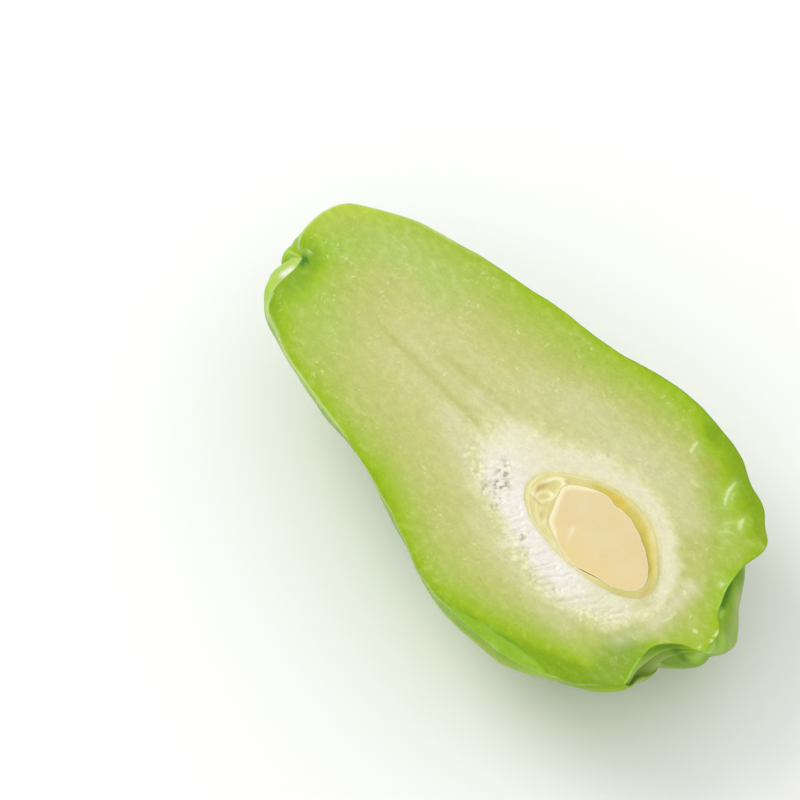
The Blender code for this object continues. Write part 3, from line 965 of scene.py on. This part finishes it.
# %% Milky, greener and tawny flesh
MILKY = (  # one end, the other end, reach in mm, strength
    ((66, 20), (76, 23), 5, 0.55), ((76, 23), (90, 24), 6.5, 1),
    ((90, 24), (110, 25.5), 6.5, 1), ((85, 14.5), (93, 18.5), 3, 0.8),
    ((93, 18.5), (109, 21.5), 3.2, 1.15), ((58, -2.5), (76, -9.5), 3.4, 1.3),
    ((133.2, 9.5), (134.6, -3), 2.6, 1.6), ((135.8, -3), (132, -13), 2.8, 0.9),
    ((58, 6.5), (72, 8.5), 3, 0.9), ((110, 26.5), (119.5, 21.5), 5, 0.9),
    ((84, -16), (100, -18.5), 4, 0.8), ((100, -19), (120, -19.5), 3.6, 0.85),
)
GREENER = (
    ((3, 9), (11, 18.5), 6, 1), ((11, 18.5), (30, 22), 6, 1), ((6, -6), (22, -8), 7, 0.6),
)
TAWNY = (  # centre, half lengths, lean in degrees, strength
    ((111.5, 36.2), (4.6, 2.8), -25, 0.55), ((118, 31.2), (3, 2), -40, 0.4),
    ((128.5, 23), (2.4, 1.3), -30, 0.4), ((133.6, 34.2), (4, 1.8), -38, 0.5),
    ((124.5, 18.6), (3.6, 2.4), -35, 0.35), ((142.4, -4.4), (1.8, 1.1), 30, 0.7),
    ((141.2, -24), (3.4, 1.4), 52, 0.5),
)
milky = strokes(face_xy, MILKY) * (1 + 0.15 * noise(x, y, 3, 94, 2))
greener = strokes(face_xy, GREENER) * (1 + 0.2 * noise(x, y, 4, 95, 2))
tawny = spots(x, y, TAWNY, 1.3, 0.1) * (0.75 + 0.25 * noise(x, y, 2, 29, 2))
dusky_off = off_centre(x, y, (136, -17.5), (11, 5.4), -70) + 0.2 * noise(x, y, 5, 92, 2)
print(len(MILKY), "milky bands and", len(TAWNY), "tawny patches")

# %% [markdown]
# Right at the skin the cut shows a thin line, a painted highlight of the cut edge: pale by the stem
# and at the lower left, green on the lobes. Along the right side runs a darker line of skin, and at
# the lower right of the blossom end the rim is darker, a painted shade against its reflection.

# %% Pith, peel and the lines along the skin
to_right, degrees = np.sin(direction), np.degrees(direction)
whiter = smooth(0.35, -0.35, to_right) * (1 - 0.6 * smooth(0.6, 1, in_pith))
whiter = whiter * (1 - 0.9 * smooth(-72, -28, degrees) * smooth(90, 30, degrees))
# A pale line along the cut edge: a painted highlight.
peel = np.max([
    smooth(0.6, 0.3, from_skin) * smooth(-2, 6, y) * smooth(40, 12, x),
    smooth(0.55, 0.25, from_skin) * (y < -12) * smooth(48, 40, x),
    0.8 * smooth(0.4, 0.15, from_skin) * (y < -24) * band(x, 84, 92, 128, 132),
], axis=0)
# A bright green line on the lobes' cut edge: a painted highlight.
green_peel = smooth(0.8, 0.3, from_skin) * smooth(136.5, 138, x)
green_peel *= band(y, 9.5, 11.5, 19, 23) + band(y, -22, -19, -14, -12)
skin_line = smooth(0.5, 0.15, from_skin) * (y > 0) * band(x, 16, 26, 136, 139)
by_coat = 0.85 * smooth(1.5, 0, reaches - cavity_reach) * (0.55 + 0.45 * smooth(-0.2, 0.4, to_right))
by_tip = 0.7 * smooth(1.3, 0.2, off_centre(x, y, (128.8, -1.6), (4.4, 3), 75))
crumbs_by_edge = 0.75 * band(in_pith, 0.6, 0.9, 1.05, 1.45) * (0.35 + 0.65 * left_side)
# Where the painted glints of the wet flesh lie.
beaded = 0.5 * (1 - facet) * smooth(1, 4, from_skin)
beaded *= 1 - 0.65 * smooth(-14, -20, y) * smooth(85, 100, x)
face_marks = {
    "inwards": inwards, "milky": milky, "greener": greener, "whiter": whiter, "tawny": tawny,
    "pit": pit, "holes": holes, "strands": strands, "ridges": ridges, "glow": glow, "beaded": beaded,
    "peel": peel, "green_peel": green_peel, "bevel": bevel, "seam": seam, "skin_line": skin_line,
    "pale": smooth(1.7, 0.5, in_pith + 0.22 * noise(x, y, 5, 60, 3)),
    "dusky": smooth(1.35, 0.35, dusky_off),
    "sunny": smooth(7, 1, from_skin) * smooth(14, 2, x) * smooth(3, 11, y),
    "olive": smooth(0.75, 0.95, np.cos(direction)),
    "by_coat": np.maximum(by_coat, by_tip),
    "crumbs": np.maximum(crumbs_by_edge, white_crumbs),
    # A darker rim at the lower right of the blossom end: painted shade that damps its reflection.
    "burnt": smooth(1.6, 0.2, from_skin) * smooth(128, 133, x) * smooth(-19, -21, y),
    "wet": np.clip(0.1 * facet + 0.5 * bumpy + 0.8 * pit + ridges, 0, 1),
}
IN_CAVITY = {"inwards": 20, "pale": 0.8, "by_coat": 1}  # where it isn't 0 under the seed
print("the face carries", len(face_marks), "marks")

# %% [markdown]
# ## Marks on the skin
#
# By the two scars the skin has painted white highlights on its lips, dark hollows of painted shade,
# lighter crests of painted light and greyer places, a painted reflection of the white room, each a
# short stroke. Along the left its edge is paler just below the cut, a painted reflection, most by the stem.

# %% Marks on the skin
SKIN_STROKES = {  # one end, the other end, reach in mm, strength
    # painted highlights on the lips by the stem
    "waxy": (
        ((0.3, -4.2, -0.6), (0, -6.2, -1), 1.1, 1), ((-4.9, 3.3, -0.2), (-3, 1.4, -0.2), 0.5, 0.7),
    ),
    # painted shade in the hollows
    "shaded": (
        ((136.4, 20.4, -7.8), (139.8, 15, -7.2), 1.1, 0.8),
        ((140.6, -2.6, -6.5), (143, -0.8, -10.5), 1.7, 0.6),
        ((142, -3, -2.5), (139, -9, -3), 2.6, 0.45),
        ((142, -18.5, -6), (141.6, -18.2, -7.5), 1.6, 0.7),
        ((143.5, -22.5, -2), (134, -31, -2), 2.6, 0.4),
        ((139.3, -10, -2.5), (142, -18, -4), 2, 0.3),
        ((-3.4, -1.4, -2.5), (-1.9, -3.2, -2), 1, 0.6),
    ),
    # painted light on crests
    "bright": (
        ((148, 4.6, -4), (148.3, 1.6, -3.6), 2.4, 0.8), ((147.4, 1.4, -5), (145.3, 1.6, -10.4), 2, 0.6),
        ((146, 9.5, -8.5), (147.5, 7.4, -7.9), 1.6, 0.7),
        ((140.6, 14.6, -7.6), (141.6, 12.6, -7), 0.7, 0.9),
    ),
    # a painted reflection of the white room
    "grey": (
        ((139, 20.6, -12), (147.2, 10.5, -11.6), 2.4, 0.8), ((147.2, 10.5, -11.6), (149, 4, -7), 2, 0.6),
        ((138.5, -6, -13.5), (139, -12.5, -13.4), 4, 1),
        ((138.9, -10.5, -6.6), (139.3, -14.5, -8.3), 3, 0.8),
    ),
}
skin_x, skin_y, skin_z = np.moveaxis(skin, -1, 0)
# A painted reflection on the skin just below the cut edge on the left, most by the stem.
pale_skin = smooth(2.8 + 4 * smooth(9, 2, skin_x), 0.2, -skin_z) * smooth(131, 126, skin_x)
pale_skin = pale_skin * (skin_y < 0) * (1 + smooth(80, 60, skin_x)) / 2
skin_marks = {"fold": skin_folds, "pale_skin": pale_skin}
skin_marks.update({name: strokes(skin, table) for name, table in SKIN_STROKES.items()})
print("the skin carries", len(skin_marks), "marks")


# %% The fruit's piece
def over_fruit(on_skin, on_face, in_cavity):
    """One number for every vertex: the skin's, then the cut face's, then the cavity's."""
    parts = ((on_skin, skin.shape[:2]), (on_face, face_xy.shape[:2]), (in_cavity, bowl.shape[:2]))
    return np.concatenate([np.broadcast_to(value, shape).ravel() for value, shape in parts])


values = {name: over_fruit(0, value, IN_CAVITY.get(name, 0)) for name, value in face_marks.items()}
values.update({name: over_fruit(value, 0, 0) for name, value in skin_marks.items()})
fruit = make_mesh(
    "squash_half",
    np.concatenate([skin.reshape(-1, 3), inner.reshape(-1, 3)]),
    np.concatenate([skin_faces, inner_faces]),
    [skin_finish, flesh],
    values,
    np.repeat([0, 1], [len(skin_faces), len(inner_faces)]),
)
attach(fruit, "root")
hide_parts("fruit_half")

# %% [markdown]
# ## The seed's coat
#
# Round the kernel lies the coat, a soft yellow membrane, cut through with it. It is narrow on the
# left and wider on the right, where it dips to a golden hollow, and at the stem end it is crumpled
# into loops. Rings again run from its outline to the kernel's.

# %% Directions round the seed
SEED_COLUMNS = 420
COAT_RINGS = 64  # across its cut edge
UNDER_RINGS = 22  # down its outside
CUP_RINGS = 18  # down its hollow, and down the kernel in it
UNDER_KERNEL = 0.1  # mm left free under the kernel
round_seed = np.linspace(-math.pi, math.pi, SEED_COLUMNS, endpoint=False)
seed_heading = towards(round_seed)
to_blossom, to_right = np.cos(round_seed), np.sin(round_seed)
coat_reach = reach(COAT_EDGE, round_seed)
uneven = 0.14 * noise(round_seed * 14, 0, 1.6, 12, 2) * smooth(-0.3, 0.3, to_right)
kernel_reach = reach(KERNEL_EDGE, round_seed) + uneven
crack = smooth(0.42, 0.1, np.abs(round_seed + 0.82))
bed_reach = kernel_reach + 0.01 + 0.3 * crack
coat_width = coat_reach - bed_reach
share = np.concatenate([[0], np.linspace(0.004, 0.996, COAT_RINGS - 2), [1]])[:, None]
coat_xy = SEED_CENTRE + (coat_reach * (1 - share) + bed_reach * share)[..., None] * seed_heading
x, y = coat_xy[..., 0], coat_xy[..., 1]
print("the coat is", coat_width.min().round(1), "to", coat_width.max().round(1), "mm wide")

# %% Folds and loops of the coat
CREASES = ((0.1, 0.16, 0), (0.4, 0.18, 1), (0.8, 0.14, 1))  # share across, height in mm, place
LOOPS = (  # centre, half lengths, lean in degrees, height of the fold, depth inside it
    ((89.7, 1.9), (4, 2.4), 80, 0.34, 0.3), ((90.3, 0.2), (1.9, 1.2), 55, 0.28, 0.2),
    ((94.2, -4.2), (1.8, 0.8), -35, 0.16, 0.2),
)
stem_end = smooth(0.72, 0.93, -to_blossom)
# Place 0 is all of the stem's end, and place 1 is its left half.
places = (smooth(0.55, 0.85, -to_blossom), 0.5 * stem_end * smooth(0.3, -0.3, to_right))
wander = 0.1 * noise(round_seed * 10, share * 2, 2.4, 33, 2)
crests, loop_crests, loop_inside = np.zeros((3, *x.shape))
for line, height, where in CREASES:
    crests += height * bell((share - line - wander) * coat_width / 0.35) * places[where]
for centre, half, lean, height, depth in LOOPS:
    off = off_centre(x, y, centre, half, lean) - 1 + 0.12 * noise(x, y, 2.2, 51, 2)
    broken = 0.55 + 0.45 * np.clip(noise(x, y, 2.5, 52) * 2 + 0.5, 0, 1)
    loop_crests = np.maximum(loop_crests, height * broken * bell(off * min(half) / 0.5))
    loop_inside = np.maximum(loop_inside, depth * smooth(0, -0.5, off))
print(len(CREASES), "creases and", len(LOOPS), "loops")

# %% Relief and marks of the coat
# Brown spots round the loops; the thin line under the big loop is painted shadow.
BROWN_AND_SHADOW = (  # centre, half lengths, lean in degrees, strength
    ((87.8, 1.1), (2.6, 1.1), 84, 0.6), ((89.6, -2.3), (2.4, 0.5), 4, 0.55),
    ((91, 6.9), (0.8, 0.6), 40, 0.4), ((94, -3.6), (1.4, 1), -20, 0.3), ((126.8, 0.6), (0.9, 2.6), 8, 0.4),
)
AMBER = (((103.4, 13.2), (3.2, 1.4), 0, 0.8),)
right_side = smooth(-0.05, 0.3, to_right) * smooth(-0.93, -0.6, to_blossom)
left_rim = smooth(0.1, -0.5, to_right) * smooth(0.85, 0.4, np.abs(to_blossom))
dip = smooth(0, 0.75, share) * smooth(1.25, 0.85, share)
hollow = (0.45 * right_side + 0.2 * stem_end) * dip * np.minimum(1, coat_width / 2)
gilt = (right_side + 0.3 * stem_end) * smooth(-0.05, 0.7, share) * smooth(1.35, 0.8, share)
# Painted shade on the coat next to the kernel, on its right side.
dusk = 0.75 * smooth(0.45, 0.95, share) * band(round_seed, 0.05, 0.35, 0.85, 1.35)
room = band(share, 0, 0.06, 0.94, 1)
coat_height = -0.08 - hollow - 0.09 * smooth(0.8, 1, share) + (crests + loop_crests - loop_inside) * room
coat_height = np.minimum(coat_height + 0.05 * noise(x, y, 1.6, 90, 2) * room, -0.03)
coat_marks = {
    "deep": np.clip(gilt, 0, 1),
    "olive": smooth(0.7, 0.95, to_blossom),
    "dusk": dusk,
    "amber": spots(x, y, AMBER, 1.3, 0.2),
    "crest": np.clip(3.5 * (crests + loop_crests) * room + 0.4 * left_rim, 0, 1),
    "browned": spots(x, y, BROWN_AND_SHADOW, 1.3, 0.3),
}
print("the coat's relief is", (-coat_height.min()).round(2), "mm deep")

# %% [markdown]
# ## Finishes of the seed
#
# The coat is soft and wet: pale yellow on its folds, golden where it lies deep, darker by the kernel on
# the right, a painted shade, and brown round its loops, partly painted shadow. The kernel is dense and
# nearly matt, an even cream with a slightly paler rolled edge, a painted highlight.

# %% Coat finish
coat_finish, tree, shader = new_finish("coat")
cloud, fine = grain(tree, 3, 3), grain(tree, 0.6, 2)
colour = blend(measure(tree, "olive"), shade(236, 226, 158), shade(220, 210, 134))
colour = blend(rise(measure(tree, "deep"), 0, 1), colour, shade(221, 206, 104))
colour = laid_over(tree, colour, (
    # Painted shade by the kernel, and brown spots that are partly painted shadow.
    ("amber", 1, (228, 200, 76)), ("dusk", 1, (203, 190, 82)), ("crest", 1, (252, 245, 200)),
    ("browned", 1, (214, 180, 112)),
))
settle(
    shader,
    {
        "IOR": 1.38, "Coat Roughness": 0.2, "Coat Weight": 0.2, "Subsurface Weight": 0.3,
        "Subsurface Radius": (1, 0.8, 0.3), "Subsurface Scale": 2 * MM,
    },
    {
        "Base Color": lit(colour, (cloud - 0.5) * 0.2 + 1),
        "Roughness": 0.4 + (fine - 0.5) * 0.15,
        "Normal": bump(tree, fine, 0.1),
    },
)

# %% Kernel finish
kernel_finish, tree, shader = new_finish("kernel")
cloud, fine = grain(tree, 7, 3), grain(tree, 0.5, 2)
colour = blend(rise(cloud, 0.35, 0.65), shade(238, 217, 165), shade(240, 221, 172))
colour = laid_over(tree, colour, (
    # The paler rolled rim is a painted highlight.
    ("warm", 0.8, (243, 220, 157)), ("worn", 1, (254, 244, 200)), ("nick", 0.6, (250, 238, 205)),
    ("side", 1, (224, 200, 104)),
))
settle(
    shader,
    {
        "IOR": 1.42, "Subsurface Weight": 0.15, "Subsurface Radius": (1, 0.8, 0.5),
        "Subsurface Scale": 1.5 * MM,
    },
    {
        "Base Color": lit(colour, (fine - 0.5) * 0.05 + 1),
        "Roughness": 0.46 + (cloud - 0.5) * 0.1,
        "Normal": bump(tree, fine, 0.03),
    },
)


# %% Build the coat
def seed_piece(name, below, top, cup, finish, marks):
    """A piece of rings round the seed. Each mark is (under it, on its face, in its cup)."""
    grid = np.concatenate([below, top, cup])
    sizes = [part.shape[:2] for part in (below, top, cup)]
    values = {
        key: np.concatenate([np.broadcast_to(value, size) for value, size in zip(mark, sizes)])
        for key, mark in marks.items()
    }
    return make_mesh(name, grid.reshape(-1, 3), grid_faces(closed(pinched(grid))), [finish], values)


coat = seed_piece(
    "seed_membrane",
    bowl_rings(seed_heading, coat_reach, coat_height[0], COAT_DEPTH, UNDER_RINGS),
    raised(coat_xy, coat_height),
    bowl_rings(seed_heading, bed_reach, coat_height[-1], KERNEL_DEPTH + UNDER_KERNEL, CUP_RINGS)[::-1],
    coat_finish,
    {name: (0, value, 1) for name, value in coat_marks.items()},
)
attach(coat, "root")
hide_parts("seed_coat")

# %% [markdown]
# ## The kernel
#
# The knife left the kernel with a flat face, but its rim is worn round, most at the blunt end by
# the stem, and there is a small nick where the blade caught it.

# %% Build the kernel
KERNEL_RINGS = 46
share = (np.linspace(0, 1, KERNEL_RINGS) ** 1.6)[:, None]
kernel_xy = SEED_CENTRE + (kernel_reach * (1 - share))[..., None] * seed_heading
x, y = kernel_xy[..., 0], kernel_xy[..., 1]
blunt = smooth(0.3, 0.8, -to_blossom)
roll = np.clip(1 - kernel_reach * share / (0.4 + 1.5 * smooth(0.55, 0.9, -to_blossom)), 0, 1)
nick = bell(off_centre(x, y, (102.4, -2.2), (2.3, 0.55), -62))
nick += 0.7 * bell(off_centre(x, y, (101.6, -1.2), (1, 0.6), 70))
kernel_height = np.minimum(-0.05 - 0.14 * roll**2 - 0.1 * nick + 0.02 * noise(x, y, 6, 5, 2), -0.03)
kernel = seed_piece(
    "seed_cotyledon",
    bowl_rings(seed_heading, kernel_reach, kernel_height[0], KERNEL_DEPTH, CUP_RINGS),
    raised(kernel_xy, kernel_height),
    np.empty((0, SEED_COLUMNS, 3)),
    kernel_finish,
    {
        # the paler rolled rim, a painted highlight
        "worn": (0, np.clip(roll * 1.5, 0, 1) * (0.95 * blunt + 0.75 * (1 - blunt)), 0),
        "nick": (0, nick, 0),
        "warm": (0, smooth(3, -7, y + 0.8 * noise(x, y, 6, 66, 2)), 0),
        "side": (1, 0, 0),
    },
)
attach(kernel, "root")
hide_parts("seed_kernel")

# %% [markdown]
# ## Floor, light and camera
#
# The half lies on a plain white table in soft light: one large lamp over the left shoulder and a
# white room. The camera looks down from a long way off through a long lens, so nothing is stretched.

# %% Floor
FLOOR_HALF = 3  # m
corners = [(-1, -1, 0), (1, -1, 0), (1, 1, 0), (-1, 1, 0)]
mesh = bpy.data.meshes.new("table_top")
mesh.from_pydata([[FLOOR_HALF * value for value in corner] for corner in corners], [], [(0, 1, 2, 3)])
floor = in_scene("table_top", mesh)
floor_finish, tree, shader = new_finish("table")
settle(shader, {"Base Color": (0.93, 0.93, 0.93, 1), "Roughness": 0.6, "Specular IOR Level": 0.2}, {})
mesh.materials.append(floor_finish)
floor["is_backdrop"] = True

# %% Camera
AZIMUTH = math.radians(48.2)
ELEVATION = math.radians(62)
LENS = 600
SENSOR = 36
FRAME_WIDTH = 199.3  # mm of the cut face's plane that the frame takes in
AIM = np.array([46.35, -8.7, 0])  # on the cut face, in the middle of the frame
rightwards = np.array([math.cos(AZIMUTH), math.sin(AZIMUTH), 0])
forwards = np.array([-math.sin(AZIMUTH), math.cos(AZIMUTH), 0])
back = -forwards * math.cos(ELEVATION) + np.array([0, 0, math.sin(ELEVATION)])
target = (AIM + shift) * MM


def look(obj, where, at):
    """Puts a lamp or the camera somewhere and turns its -Z axis towards a point."""
    obj.location = Vector(where)
    obj.rotation_mode = "QUATERNION"
    obj.rotation_quaternion = (Vector(at) - Vector(where)).to_track_quat("-Z", "Y")


lens = bpy.data.cameras.new("camera")
lens.lens = LENS
lens.sensor_width = SENSOR
distance = FRAME_WIDTH * MM * LENS / SENSOR
lens.clip_end = 3 * distance
camera = in_scene("camera", lens)
look(camera, target + back * distance, target)
bpy.context.scene.camera = camera
print("the camera is", round(distance, 2), "m away")

# %% Light
LAMP_AT = rightwards * -1.23 + forwards * 1.03 + np.array([0, 0, 1.5])  # m
lamp = bpy.data.lights.new("key", "AREA")
lamp.shape = "DISK"
lamp.size = 1.4  # m
lamp.energy = 15.5  # W
look(in_scene("key", lamp), LAMP_AT, (0, 0, 0))

world = bpy.data.worlds.new("room")
world.use_nodes = True
settle(world.node_tree.nodes["Background"], {"Color": (1, 1, 1, 1), "Strength": 0.9}, {})
bpy.context.scene.world = world
bpy.context.scene.view_settings.view_transform = "Standard"
